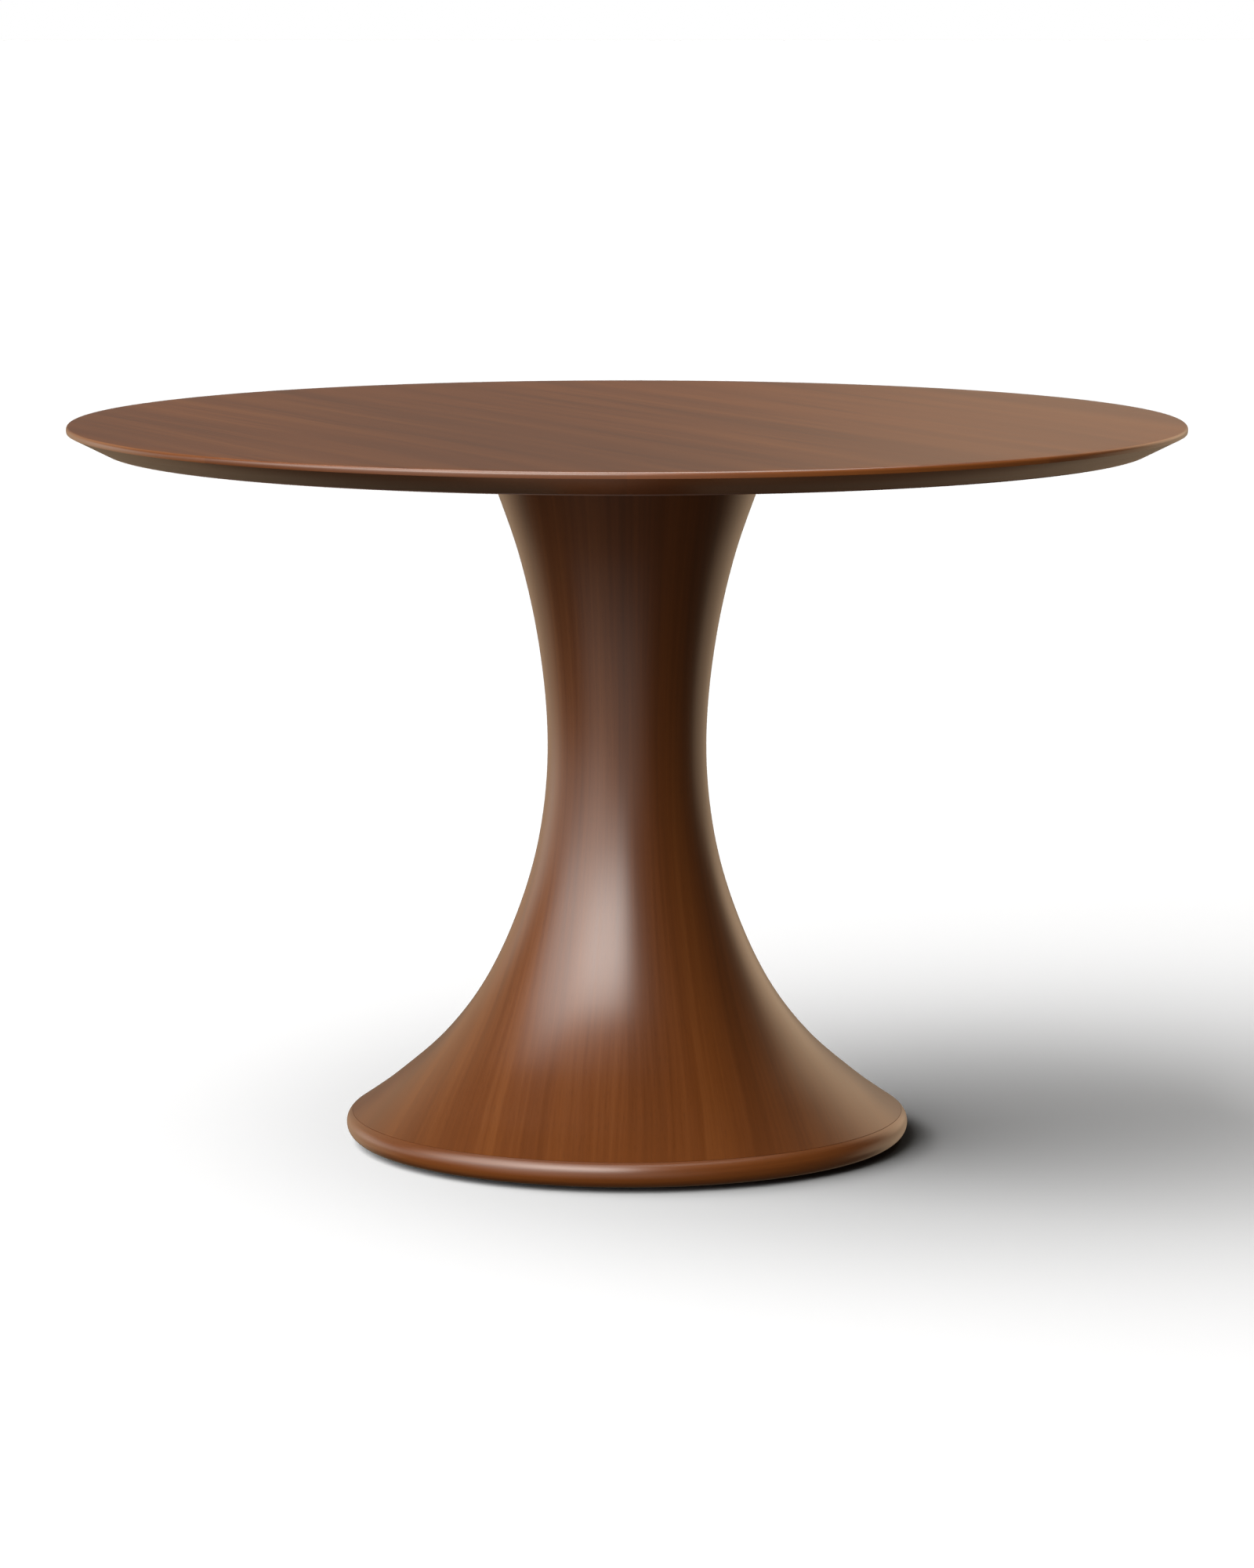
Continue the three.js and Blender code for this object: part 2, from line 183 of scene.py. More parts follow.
def turned(name, outline, steps, start=0.0, sweep=2 * math.pi, grain=None, relief=None):
    """A solid turned about Z from an anticlockwise outline of (radius, height) points.
    The outline closes on itself, or starts and ends on the axis. A part turn gets two flat ends.
    grain(angle, radius, height, distance along the outline) gives a corner's place in the grain.
    relief(angle, radius, height) gives a corner's true radius, as on a screw thread."""
    is_closed = outline[0][0] > 0
    is_full = sweep > 2 * math.pi - 0.001
    columns = steps if is_full else steps + 1
    angles = [start + sweep * i / steps for i in range(steps + 1)]
    vertices, rows = [], []
    for radius, height in outline:
        if radius == 0:
            rows.append([len(vertices)] * columns)
            vertices.append(spun(0, 0, height))
            continue
        rows.append([len(vertices) + i for i in range(columns)])
        for angle in angles[:columns]:
            true_radius = relief(angle, radius, height) if relief else radius
            vertices.append(spun(angle, true_radius, height))

    faces, normals, places = [], [], []
    distance = 0.0
    for side, side_ends in enumerate(side_normals(outline, is_closed)):
        following = (side + 1) % len(outline)
        length = (Vector(outline[following]) - Vector(outline[side])).length
        for i in range(steps):
            corners = ((side, i), (side, i + 1), (following, i + 1), (following, i))
            face = []
            for row, step in corners:
                vertex = rows[row][step % columns]
                if vertex in face:
                    continue
                face.append(vertex)
                is_far = row == following
                normal = side_ends[1] if is_far else side_ends[0]
                normals.append(spun(angles[step], normal.x, normal.y))
                places.append((angles[step], *outline[row], distance + (length if is_far else 0)))
            faces.append(face)
        distance += length
    if not is_full:
        for step, direction in ((0, 1), (steps, -1)):
            points = range(len(outline))[::direction]
            faces.append([rows[point][step] for point in points])
            outward = spun(angles[step] - direction * math.pi / 2, 1, 0)
            normals.extend([outward] * len(outline))
            places.extend((angles[step], *outline[point], 0) for point in points)

    mesh = bpy.data.meshes.new(name)
    mesh.from_pydata(vertices, [], faces)
    layer = mesh.uv_layers.new(name="grain")
    for corner, place in zip(layer.data, places):
        angle, radius, height, reach = place
        corner.uv = grain(*place) if grain else (reach, angle * radius)
    mesh.shade_smooth()
    if relief:
        mesh.set_sharp_from_angle(angle=SMOOTH_TURN)
    else:
        mesh.normals_split_custom_set(normals)
    return linked(name, mesh)


def linked(name, mesh):
    piece = bpy.data.objects.new(name, mesh)
    bpy.context.scene.collection.objects.link(piece)
    return piece


def shaped(piece, operation, *tools):
    """Cuts tools out of a piece, joins them to it or keeps what lies inside them."""
    for tool in tools:
        modifier = piece.modifiers.new("shape", "BOOLEAN")
        modifier.operation = operation
        modifier.solver = "EXACT"
        modifier.object = tool
    graph = bpy.context.evaluated_depsgraph_get()
    mesh = bpy.data.meshes.new_from_object(piece.evaluated_get(graph))
    piece.modifiers.clear()
    piece.data = mesh
    for tool in tools:
        bpy.data.objects.remove(tool)
    if mesh.has_custom_normals:
        mesh.attributes.remove(mesh.attributes["custom_normal"])
    mesh.shade_smooth()
    mesh.set_sharp_from_angle(angle=SMOOTH_TURN)
    for polygon in mesh.polygons:
        if abs(polygon.normal.z) > LEVEL:
            polygon.use_smooth = False   # level faces with holes in them stay evenly shaded
    return piece


def moved(piece, place):
    """Moves a piece's mesh, so that the object itself stays at the origin."""
    for vertex in piece.data.vertices:
        vertex.co += Vector((place.x, place.y, 0))
    return piece


def bar(name, radius, bottom, top, steps=SMALL_STEPS):
    return turned(name, [(0, bottom), (radius, bottom), (radius, top), (0, top)], steps)


def hole(place, radius, bottom, top, steps=SMALL_STEPS):
    return moved(bar("hole", radius, bottom, top, steps), place)


def hex_bar(name, flats, bottom, top):
    """A hexagonal bar whose corners are chamfered at both ends, as on a nut."""
    corner = flats / math.sqrt(3)
    face = NUT_FACE * flats
    rise = (corner - face) * math.tan(math.radians(NUT_CHAMFER))
    cone = [(0, bottom), (face, bottom), (corner, bottom + rise), (corner, top - rise),
            (face, top), (0, top)]
    return shaped(bar(name, corner, bottom, top, 6), "INTERSECT", turned("cone", cone, SMALL_STEPS))


def arc(centre, radius, start, end, steps):
    """Points of an arc in the (radius, height) plane, its angles in degrees."""
    angles = [math.radians(start + (end - start) * i / steps) for i in range(steps + 1)]
    return [(centre[0] + radius * math.cos(a), centre[1] + radius * math.sin(a)) for a in angles]


def shown_as(piece, slot, node, body="root"):
    """Gives a piece its material and its body, and lets it stand for a CAD node."""
    piece.data.materials.clear()
    piece.data.materials.append(MATERIALS[slot])
    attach(piece, body)
    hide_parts(node)
    return piece


# ---- the pedestal's outline ----

def outline_slope(i):
    below, above = max(i - 1, 0), min(i + 1, len(PEDESTAL_OUTLINE) - 1)
    low_height, low_radius = PEDESTAL_OUTLINE[below]
    high_height, high_radius = PEDESTAL_OUTLINE[above]
    return (high_radius - low_radius) / (high_height - low_height)


def pedestal_face(height):
    """Radius and slope of the pedestal's outer face: a smooth cubic through its outline."""
    i = 0
    while i < len(PEDESTAL_OUTLINE) - 2 and height > PEDESTAL_OUTLINE[i + 1][0]:
        i += 1
    (z0, r0), (z1, r1) = PEDESTAL_OUTLINE[i], PEDESTAL_OUTLINE[i + 1]
    span = z1 - z0
    t = (height - z0) / span
    m0, m1 = outline_slope(i) * span, outline_slope(i + 1) * span
    radius = ((2 * t**3 - 3 * t**2 + 1) * r0 + (t**3 - 2 * t**2 + t) * m0
              + (3 * t**2 - 2 * t**3) * r1 + (t**3 - t**2) * m1)
    rise = ((6 * t**2 - 6 * t) * (r0 - r1) + (3 * t**2 - 4 * t + 1) * m0
            + (3 * t**2 - 2 * t) * m1)
    return radius, rise / span


def pedestal_inside(height):
    radius, slope = pedestal_face(height)
    return radius - STAVE_THICKNESS * math.hypot(1, slope)


# ---- materials ----

class Nodes:
    """A node tree, and a short way to write its nodes."""

    def __init__(self, tree):
        self.nodes = tree.nodes
        self.links = tree.links

    def put(self, socket, value):
        if isinstance(value, bpy.types.NodeSocket):
            self.links.new(value, socket)
        else:
            socket.default_value = value

    def math(self, operation, a, b):
        node = self.nodes.new("ShaderNodeMath")
        node.operation = operation
        self.put(node.inputs[0], a)
        self.put(node.inputs[1], b)
        return node.outputs["Value"]


class Shader(Nodes):
    """A material."""

    def __init__(self, name):
        self.material = bpy.data.materials.new(name)
        self.material.use_nodes = True
        super().__init__(self.material.node_tree)
        self.surface = self.nodes["Principled BSDF"]

    def grain(self):
        node = self.nodes.new("ShaderNodeUVMap")
        node.uv_map = "grain"
        return node.outputs["UV"]

    def position(self):
        return self.nodes.new("ShaderNodeTexCoord").outputs["Object"]

    def vector(self, operation, a, b):
        node = self.nodes.new("ShaderNodeVectorMath")
        node.operation = operation
        self.put(node.inputs[0], a)
        self.put(node.inputs[1], b)
        return node.outputs["Vector"]

    def across(self, value):
        """A vector that moves the grain sideways."""
        node = self.nodes.new("ShaderNodeCombineXYZ")
        self.put(node.inputs["X"], value)
        return node.outputs["Vector"]

    def height(self, place):
        node = self.nodes.new("ShaderNodeSeparateXYZ")
        self.put(node.inputs["Vector"], place)
        return node.outputs["Z"]

    def noise(self, place, scale, detail=2.0, roughness=0.5):
        node = self.nodes.new("ShaderNodeTexNoise")
        self.put(node.inputs["Vector"], self.vector("MULTIPLY", place, scale))
        node.inputs["Scale"].default_value = 1
        node.inputs["Detail"].default_value = detail
        node.inputs["Roughness"].default_value = roughness
        return node.outputs["Fac"]

    def ramp(self, value, *stops):
        node = self.nodes.new("ShaderNodeValToRGB")
        elements = node.color_ramp.elements
        for _ in stops[2:]:
            elements.new(0.5)
        for element, (place, colour) in zip(elements, stops):
            element.position = place
            element.color = (*colour, 1)
        self.put(node.inputs["Fac"], value)
        return node.outputs["Color"]

    def between(self, value, low_in, high_in, low_out, high_out):
        node = self.nodes.new("ShaderNodeMapRange")
        for i, setting in enumerate((value, low_in, high_in, low_out, high_out)):
            self.put(node.inputs[i], setting)
        return node.outputs["Result"]

    def toned(self, colour, tone):
        """A colour made darker or lighter by a tone of about 1."""
        return self.vector("MULTIPLY", colour, tone)

    def finish(self, colour, roughness, bump=None, strength=0.0, depth=0.0, metallic=0.0):
        self.put(self.surface.inputs["Base Color"], colour)
        self.put(self.surface.inputs["Roughness"], roughness)
        self.surface.inputs["Metallic"].default_value = metallic
        if bump:
            node = self.nodes.new("ShaderNodeBump")
            self.put(node.inputs["Height"], bump)
            node.inputs["Strength"].default_value = strength
            node.inputs["Distance"].default_value = depth
            self.put(self.surface.inputs["Normal"], node.outputs["Normal"])
        return self.material


def walnut():
    """Stained walnut veneer under a satin lacquer. The grain runs along the second coordinate."""
    s = Shader("walnut_veneer")
    place = s.grain()
    wander = s.math("SUBTRACT", s.noise(place, (9, 1.1, 1)), 0.5)
    place = s.vector("ADD", place, s.across(s.math("MULTIPLY", wander, 0.03)))
    leaves = s.noise(place, (2.3, 0.3, 1), detail=1)
    bands = s.noise(place, (22, 0.8, 1), detail=2)
    streaks = s.noise(place, (190, 2.2, 1), detail=3, roughness=0.6)
    fibres = s.noise(place, (1300, 22, 1), roughness=0.6)
    pores = s.between(s.noise(place, (1900, 70, 1), detail=1), 0.62, 0.74, 1, 0.78)
    figure = s.math("ADD", s.math("MULTIPLY", bands, 0.6), s.math("MULTIPLY", streaks, 0.4))
    colour = s.ramp(figure, (0.30, WALNUT_DARK), (0.50, WALNUT_MIDDLE), (0.70, WALNUT_LIGHT))
    tone = s.math("MULTIPLY", s.between(fibres, 0.3, 0.7, 0.95, 1.05), pores)
    tone = s.math("MULTIPLY", s.between(leaves, 0.35, 0.65, 0.86, 1.15), tone)
    s.surface.inputs["Coat Weight"].default_value = 1
    s.surface.inputs["Coat Roughness"].default_value = 0.28
    s.surface.inputs["Coat IOR"].default_value = 1.5
    relief = s.math("ADD", fibres, pores)
    rough = s.between(streaks, 0.3, 0.7, 0.33, 0.39)
    return s.finish(s.toned(colour, tone), rough, relief, 0.10, 0.1 * MM)


def plywood():
    """Birch plywood: pale faces, and plies of two tones on its edges."""
    s = Shader("birch_plywood")
    place = s.position()
    figure = s.noise(place, (60, 4, 4), detail=3)
    colour = s.ramp(figure, (0.35, (0.47, 0.31, 0.17)), (0.65, (0.62, 0.45, 0.28)))
    ply = s.math("FRACT", s.math("DIVIDE", s.height(place), 2.8 * MM), 0)
    tone = s.between(ply, 0.45, 0.55, 1, 0.66)
    return s.finish(s.toned(colour, tone), 0.65, figure, 0.2, 0.2 * MM)


def fibreboard():
    s = Shader("fibreboard")
    specks = s.noise(s.position(), (900, 900, 900), detail=3, roughness=0.7)
    colour = s.ramp(specks, (0.35, (0.30, 0.19, 0.10)), (0.65, (0.43, 0.29, 0.17)))
    return s.finish(colour, 0.85, specks, 0.25, 0.2 * MM)


def zinc_steel():
    """Zinc-plated steel, a little cloudy, with fine turning marks."""
    s = Shader("zinc_steel")
    clouds = s.noise(s.position(), (160, 160, 160))
    marks = s.noise(s.position(), (300, 300, 4500))
    colour = s.ramp(clouds, (0.3, (0.50, 0.51, 0.54)), (0.7, (0.64, 0.65, 0.66)))
    rough = s.between(clouds, 0.3, 0.7, 0.28, 0.42)
    return s.finish(colour, rough, marks, 0.15, 0.05 * MM, metallic=1)


def ballast_steel():
    """Hot-rolled steel with its dark mill scale."""
    s = Shader("ballast_steel")
    scale = s.noise(s.position(), (40, 40, 40), detail=4, roughness=0.65)
    colour = s.ramp(scale, (0.3, (0.030, 0.031, 0.034)), (0.7, (0.075, 0.072, 0.070)))
    return s.finish(colour, s.between(scale, 0.3, 0.7, 0.4, 0.6), scale, 0.3, 0.3 * MM)


def nylon():
    s = Shader("nylon")
    grit = s.noise(s.position(), (1500, 1500, 1500))
    colour = s.ramp(grit, (0.3, (0.022, 0.022, 0.023)), (0.7, (0.040, 0.040, 0.041)))
    return s.finish(colour, s.between(grit, 0.3, 0.7, 0.45, 0.6), grit, 0.3, 0.1 * MM)


WALNUT_DARK = (0.100, 0.0265, 0.0038)
WALNUT_MIDDLE = (0.155, 0.043, 0.0068)
WALNUT_LIGHT = (0.212, 0.066, 0.0125)
MATERIALS = {
    "walnut": walnut(),
    "plywood": plywood(),
    "fibreboard": fibreboard(),
    "zinc_steel": zinc_steel(),
    "ballast_steel": ballast_steel(),
    "nylon": nylon(),
}


# ---- the round top ----

TOP_GRAIN = math.radians(-63)    # direction of the grain on the top, from +X


def sheet_grain(offset):
    """Grain of a flat sheet, all in one direction."""
    def place(angle, radius, height, distance):
        x, y = radius * math.cos(angle), radius * math.sin(angle)
        across = y * math.cos(TOP_GRAIN) - x * math.sin(TOP_GRAIN)
        along = x * math.cos(TOP_GRAIN) + y * math.sin(TOP_GRAIN)
        return across + offset, along
    return place


def hoop_grain(offset):
    """Grain that runs round the edge of a disc or ring."""
    def place(angle, radius, height, distance):
        return distance + offset, angle * radius
    return place


def edge_radius(below_face):
    reach = WIDEST_BELOW_FACE if below_face < WIDEST_BELOW_FACE else 2 * WIDEST_BELOW_FACE
    away = (below_face - WIDEST_BELOW_FACE) / reach
    return TOP_RADIUS - ARRIS * (1 - math.sqrt(1 - away**2))


def edge_points(deepest, shallowest, steps):
    """Points of the top's rounded edge, from the lower one up."""
    depths = [deepest + (shallowest - deepest) * i / steps for i in range(steps + 1)]
    return [(edge_radius(depth), FACE - depth) for depth in depths]


def bolt_places():
    return [middle(f"top_bolt_{i + 1}") for i in range(BOLT_COUNT)]


def lathe_angle(angle):
    """The CAD part's staves and lippings are counted from -Y."""
    return angle - math.pi / 2


def make_top():
    veneer = FACE - CORE_TOP
    rings = [(TOP_RADIUS * share, FACE) for share in FACE_RINGS]
    outline = [(0, CORE_TOP), *edge_points(veneer, 0, 8), *rings, (0, FACE)]
    face = turned("top_face", outline, TOP_STEPS, grain=sheet_grain(0.37))
    shown_as(face, "walnut", "top_face_veneer")

    core = bar("top_core", CORE_RADIUS, CORE_BOTTOM, CORE_TOP, TOP_STEPS)
    insert_radius = high("threaded_insert_1").x - middle("threaded_insert_1").x
    insert_top = high("threaded_insert_1").z
    bore, below = insert_radius + GLUE_GAP, UNDERSIDE - MM
    holes = [hole(at, bore, below, insert_top + MM) for at in bolt_places()]
    shown_as(shaped(core, "DIFFERENCE", *holes), "fibreboard", "top_core_panel")

    outline = [
        (0, UNDERSIDE),
        (BEVEL_END_RADIUS, UNDERSIDE),
        (BEVEL_END_RADIUS, CORE_BOTTOM),
        (0, CORE_BOTTOM),
    ]
    balance = turned("top_balance", outline, TOP_STEPS, grain=sheet_grain(2.1))
    holes = [hole(at, bore, below, CORE_BOTTOM + MM) for at in bolt_places()]
    shown_as(shaped(balance, "DIFFERENCE", *holes), "walnut", "top_balance_veneer")

    reach = edge_radius(BEVEL_START_BELOW_FACE) - BEVEL_END_RADIUS
    rise = FACE - BEVEL_START_BELOW_FACE - UNDERSIDE
    bevel_foot = (BEVEL_END_RADIUS + reach * (CORE_BOTTOM - UNDERSIDE) / rise, CORE_BOTTOM)
    inner = CORE_RADIUS + GLUE_GAP
    edge = edge_points(BEVEL_START_BELOW_FACE, veneer, 16)
    outline = [(inner, CORE_BOTTOM), bevel_foot, *edge, (inner, CORE_TOP)]
    step = 2 * math.pi / LIPPING_COUNT
    steps = TOP_STEPS // LIPPING_COUNT
    for i in range(LIPPING_COUNT):
        name = f"edge_lipping_fine_{i + 1}"
        grain = hoop_grain(0.83 * i)     # each lipping is cut from another length of wood
        lipping = turned(name, outline, steps, lathe_angle(i * step), step, grain)
        shown_as(lipping, "walnut", f"edge_lipping_{i + 1}")

    bottom, top = low("threaded_insert_1").z, high("threaded_insert_1").z
    outline = [(INSERT_BORE, bottom), (insert_radius, bottom), (insert_radius, top),
               (INSERT_BORE, top)]
    for i, at in enumerate(bolt_places()):
        insert = moved(turned(f"insert_{i + 1}", outline, SMALL_STEPS), at)
        shown_as(insert, "zinc_steel", f"threaded_insert_{i + 1}")


def make_mounting():
    outline = [
        (0, MOUNTING_BOTTOM),
        (MOUNTING_RADIUS - MOUNTING_BEVEL, MOUNTING_BOTTOM),
        (MOUNTING_RADIUS, UNDERSIDE - MOUNTING_EDGE),
        (MOUNTING_RADIUS, UNDERSIDE),
        (0, UNDERSIDE),
    ]
    disc = turned("mounting", outline, PEDESTAL_STEPS)
    centre = Vector((0, 0, 0))
    below, above = MOUNTING_BOTTOM - MM, UNDERSIDE + MM
    holes = [hole(at, BOLT_RADIUS + HOLE_CLEARANCE, below, above) for at in bolt_places()]
    holes.append(hole(centre, ROD_HOLE_RADIUS, below, above))
    holes.append(hole(centre, COUNTERBORE_RADIUS, UNDERSIDE - COUNTERBORE_DEPTH, above))
    shown_as(shaped(disc, "DIFFERENCE", *holes), "plywood", "mounting_disc")

    head_bottom = MOUNTING_BOTTOM - BOLT_HEAD_HEIGHT
    head_radius = (high("top_bolt_1").x - low("top_bolt_1").x) / 2
    flat = BOLT_HEAD_FLAT * head_radius
    dome_steps = 8
    dome = []
    for i in range(dome_steps + 1):
        angle = math.pi / 2 * i / dome_steps
        radius = flat + (head_radius - flat) * math.sin(angle)
        dome.append((radius, MOUNTING_BOTTOM - BOLT_HEAD_HEIGHT * math.cos(angle)))
    shank_top = high("top_bolt_1").z
    shank = [(BOLT_RADIUS, MOUNTING_BOTTOM), (BOLT_RADIUS, shank_top - MM),
             (BOLT_RADIUS - MM, shank_top), (0, shank_top)]
    corner = BOLT_SOCKET_FLATS / math.sqrt(3)
    for i, at in enumerate(bolt_places()):
        bolt = turned(f"bolt_{i + 1}", [(0, head_bottom), *dome, *shank], SMALL_STEPS)
        socket = bar("socket", corner, head_bottom - MM, head_bottom + BOLT_SOCKET_DEPTH, 6)
        shown_as(moved(shaped(bolt, "DIFFERENCE", socket), at), "zinc_steel", f"top_bolt_{i + 1}")


# ---- the pedestal ----

GRAIN_HEIGHT = 0.2               # the staves' grain spreads towards the foot from about here


def make_staves():
    rows = [(i / STAVE_ROWS) ** STAVE_ROW_SPREAD for i in range(STAVE_ROWS + 1)]
    heights = [RING_TOP + (MOUNTING_BOTTOM - RING_TOP) * row for row in rows]
    outside = [(pedestal_face(z)[0], z) for z in heights]
    foot_radius = outside[0][0]
    foot = [(foot_radius - JOINT_CHAMFER, RING_TOP),
            (foot_radius - JOINT_CHAMFER / 2, RING_TOP + JOINT_CHAMFER)]
    inside = [(pedestal_inside(z), z) for z in reversed(heights)]
    outline = [*foot, *outside[1:], *inside]
    middle_radius = pedestal_face(GRAIN_HEIGHT)[0]

    def grain(angle, radius, height, distance):
        """Runs up the pedestal, and on from stave to stave as on one sheet bent round it."""
        return (angle + math.pi / 2) * (radius + middle_radius) / 2, distance

    step = 2 * math.pi / STAVE_COUNT
    steps = PEDESTAL_STEPS // STAVE_COUNT
    for i in range(STAVE_COUNT):         # from the back round to the back again
        start = lathe_angle(i * step - math.pi)
        number = (i + STAVE_COUNT // 2) % STAVE_COUNT + 1
        stave = turned(f"stave_{number}", outline, steps, start, step, grain)
        shown_as(stave, "walnut", f"pedestal_stave_{number}")


def make_ribs():
    for name in ("neck_board", "upper_rib", "waist_rib", "lower_rib"):
        bottom, top = low(name).z, high(name).z
        outline = [(ROD_HOLE_RADIUS, bottom), (pedestal_inside(bottom) - GLUE_GAP, bottom),
                   (pedestal_inside(top) - GLUE_GAP, top), (ROD_HOLE_RADIUS, top)]
        shown_as(turned(f"{name}_fine", outline, PEDESTAL_STEPS), "plywood", name)


# ---- the foot ----

def foot_places():
    return [middle(f"leveller_pad_{i + 1}") for i in range(FOOT_COUNT)]


def make_base():
    centre = (FOOT_RADIUS - NOSE_RADIUS, RING_BOTTOM + NOSE_RADIUS)
    nose_end = math.degrees(math.asin((RING_TOP - JOINT_CHAMFER - centre[1]) / NOSE_RADIUS))
    nose = arc(centre, NOSE_RADIUS, -90, nose_end, 24)
    inner = BOARD_RADIUS + GLUE_GAP
    ring_edge = (nose[-1][0] - JOINT_CHAMFER, RING_TOP)
    outline = [(inner, RING_BOTTOM), *nose, ring_edge, (inner, RING_TOP)]
    ring = turned("ring", outline, 2 * PEDESTAL_STEPS, grain=hoop_grain(5.3))
    shown_as(ring, "walnut", "base_ring")

    board = bar("foot_board", BOARD_RADIUS, RING_BOTTOM, BOARD_TOP, PEDESTAL_STEPS)
    below, above = RING_BOTTOM - MM, BOARD_TOP + MM
    axis = Vector((0, 0, 0))
    flange_radius = (high("leveller_tnut_1").x - low("leveller_tnut_1").x) / 2
    flange_top = low("leveller_tnut_1").z + TNUT_FLANGE
    holes = [hole(axis, ROD_HOLE_RADIUS, below, above)]
    holes.append(hole(axis, COUNTERBORE_RADIUS, below, RING_BOTTOM + COUNTERBORE_DEPTH))
    for at in foot_places():
        holes.append(hole(at, flange_radius + HOLE_CLEARANCE, below, flange_top))
        holes.append(hole(at, TNUT_RADIUS + GLUE_GAP, below, above))
    shown_as(shaped(board, "DIFFERENCE", *holes), "plywood", "base_board")

    bottom, top = low("ballast_plate").z, high("ballast_plate").z
    edge = high("ballast_plate").x
    outline = [(ROD_HOLE_RADIUS, bottom), (edge - MM, bottom), (edge, bottom + MM),
               (edge, top - MM), (edge - MM, top), (ROD_HOLE_RADIUS, top)]
    shown_as(turned("ballast", outline, PEDESTAL_STEPS), "ballast_steel", "ballast_plate")


def screw_relief(radius):
    """The true radius on a screw thread: a ridge that climbs once a turn."""
    def relief(angle, here, height):
        if here != radius:
            return here
        climb = (height / SCREW_PITCH - angle / (2 * math.pi)) % 1
        return here - THREAD_DEPTH * abs(2 * climb - 1)
    return relief


def make_tie_rod():
    rod_radius = high("tie_rod").x
    bottom, top = low("tie_rod").z, high("tie_rod").z
    outline = [(0, bottom), (rod_radius - MM, bottom), (rod_radius, bottom + MM),
               (rod_radius, top - MM), (rod_radius - MM, top), (0, top)]
    shown_as(turned("rod", outline, SMALL_STEPS), "zinc_steel", "tie_rod")
    for place in ("top", "ballast", "bottom"):
        washer, nut = f"tie_washer_{place}", f"tie_nut_{place}"
        bottom, top, edge = low(washer).z, high(washer).z, high(washer).x
        outline = [(ROD_HOLE_RADIUS, bottom), (edge - WASHER_EDGE, bottom),
                   (edge, bottom + WASHER_EDGE), (edge, top), (ROD_HOLE_RADIUS, top)]
        shown_as(turned(f"{washer}_fine", outline, SMALL_STEPS), "zinc_steel", washer)
        bottom, top = low(nut).z, high(nut).z
        blank = hex_bar(f"{nut}_fine", NUT_FLATS, bottom, top)
        bore = hole(Vector((0, 0, 0)), NUT_BORE, bottom - MM, top + MM)
        shown_as(shaped(blank, "DIFFERENCE", bore), "zinc_steel", nut)


def make_levellers():
    """Four nylon pads on threaded stems with a hexagonal collar, in T-nuts."""
    pad_radius = (high("leveller_pad_1").x - low("leveller_pad_1").x) / 2
    pad_top = high("leveller_pad_1").z
    lower_edge = arc((pad_radius - PAD_EDGE, PAD_EDGE), PAD_EDGE, -90, 0, 6)
    upper_edge = arc((pad_radius - PAD_EDGE, pad_top - PAD_EDGE), PAD_EDGE, 0, 90, 6)
    pad_outline = [(0, 0), *lower_edge, *upper_edge, (PAD_SOCKET_RADIUS, pad_top),
                   (PAD_SOCKET_RADIUS, PAD_SOCKET_FLOOR), (0, PAD_SOCKET_FLOOR)]
    stem_bottom, stem_top = low("leveller_stem_1").z, high("leveller_stem_1").z
    thread_top = stem_top - MM
    row_height = SCREW_PITCH / THREAD_ROWS
    row_count = int((thread_top - COLLAR_TOP) / row_height)
    thread = [(STEM_RADIUS, COLLAR_TOP + row_height * (i + 1)) for i in range(row_count)]
    root_radius = STEM_RADIUS - THREAD_DEPTH
    stem_outline = [(0, stem_bottom), (BALL_RADIUS, stem_bottom), (BALL_RADIUS, BALL_TOP),
                    (root_radius, BALL_TOP), (root_radius, COLLAR_TOP), *thread,
                    (root_radius, stem_top), (0, stem_top)]
    flange_bottom, barrel_top = low("leveller_tnut_1").z, high("leveller_tnut_1").z
    flange_radius = (high("leveller_tnut_1").x - low("leveller_tnut_1").x) / 2
    flange_top = flange_bottom + TNUT_FLANGE
    tnut_outline = [(TNUT_BORE, flange_bottom), (flange_radius - FLANGE_EDGE, flange_bottom),
                    (flange_radius, flange_bottom + FLANGE_EDGE), (flange_radius, flange_top),
                    (TNUT_RADIUS, flange_top), (TNUT_RADIUS, barrel_top), (TNUT_BORE, barrel_top)]
    for i, at in enumerate(foot_places(), start=1):
        pad = moved(turned(f"pad_{i}", pad_outline, SMALL_STEPS), at)
        shown_as(pad, "nylon", f"leveller_pad_{i}", f"foot_pad_{i}")
        stem = turned(f"stem_{i}", stem_outline, SMALL_STEPS, relief=screw_relief(STEM_RADIUS))
        shaped(stem, "UNION", hex_bar("collar", COLLAR_FLATS, COLLAR_BOTTOM, COLLAR_TOP))
        shown_as(moved(stem, at), "zinc_steel", f"leveller_stem_{i}", f"foot_stem_{i}")
        tnut = moved(turned(f"tnut_{i}", tnut_outline, SMALL_STEPS), at)
        shown_as(tnut, "zinc_steel", f"leveller_tnut_{i}")


# ---- camera, floor and light ----

CAMERA_DISTANCE = 6.348
CAMERA_HEIGHT = 1.281
CAMERA_DOWN = 8.084              # degrees below level
CAMERA_LENS = 139.5              # mm, on a frame of CAMERA_FRAME along its long side
CAMERA_FRAME = 36                # mm
FLOOR_REACH = 60                 # from the table to the floor's edges
FLOOR_TONE = 0.06
FLOOR_LIGHT = {"azimuth": -76, "elevation": 39, "softness": 90, "strength": 78}
COOL = (1, 0.97, 0.93)
WARM = (1, 0.70, 0.45)


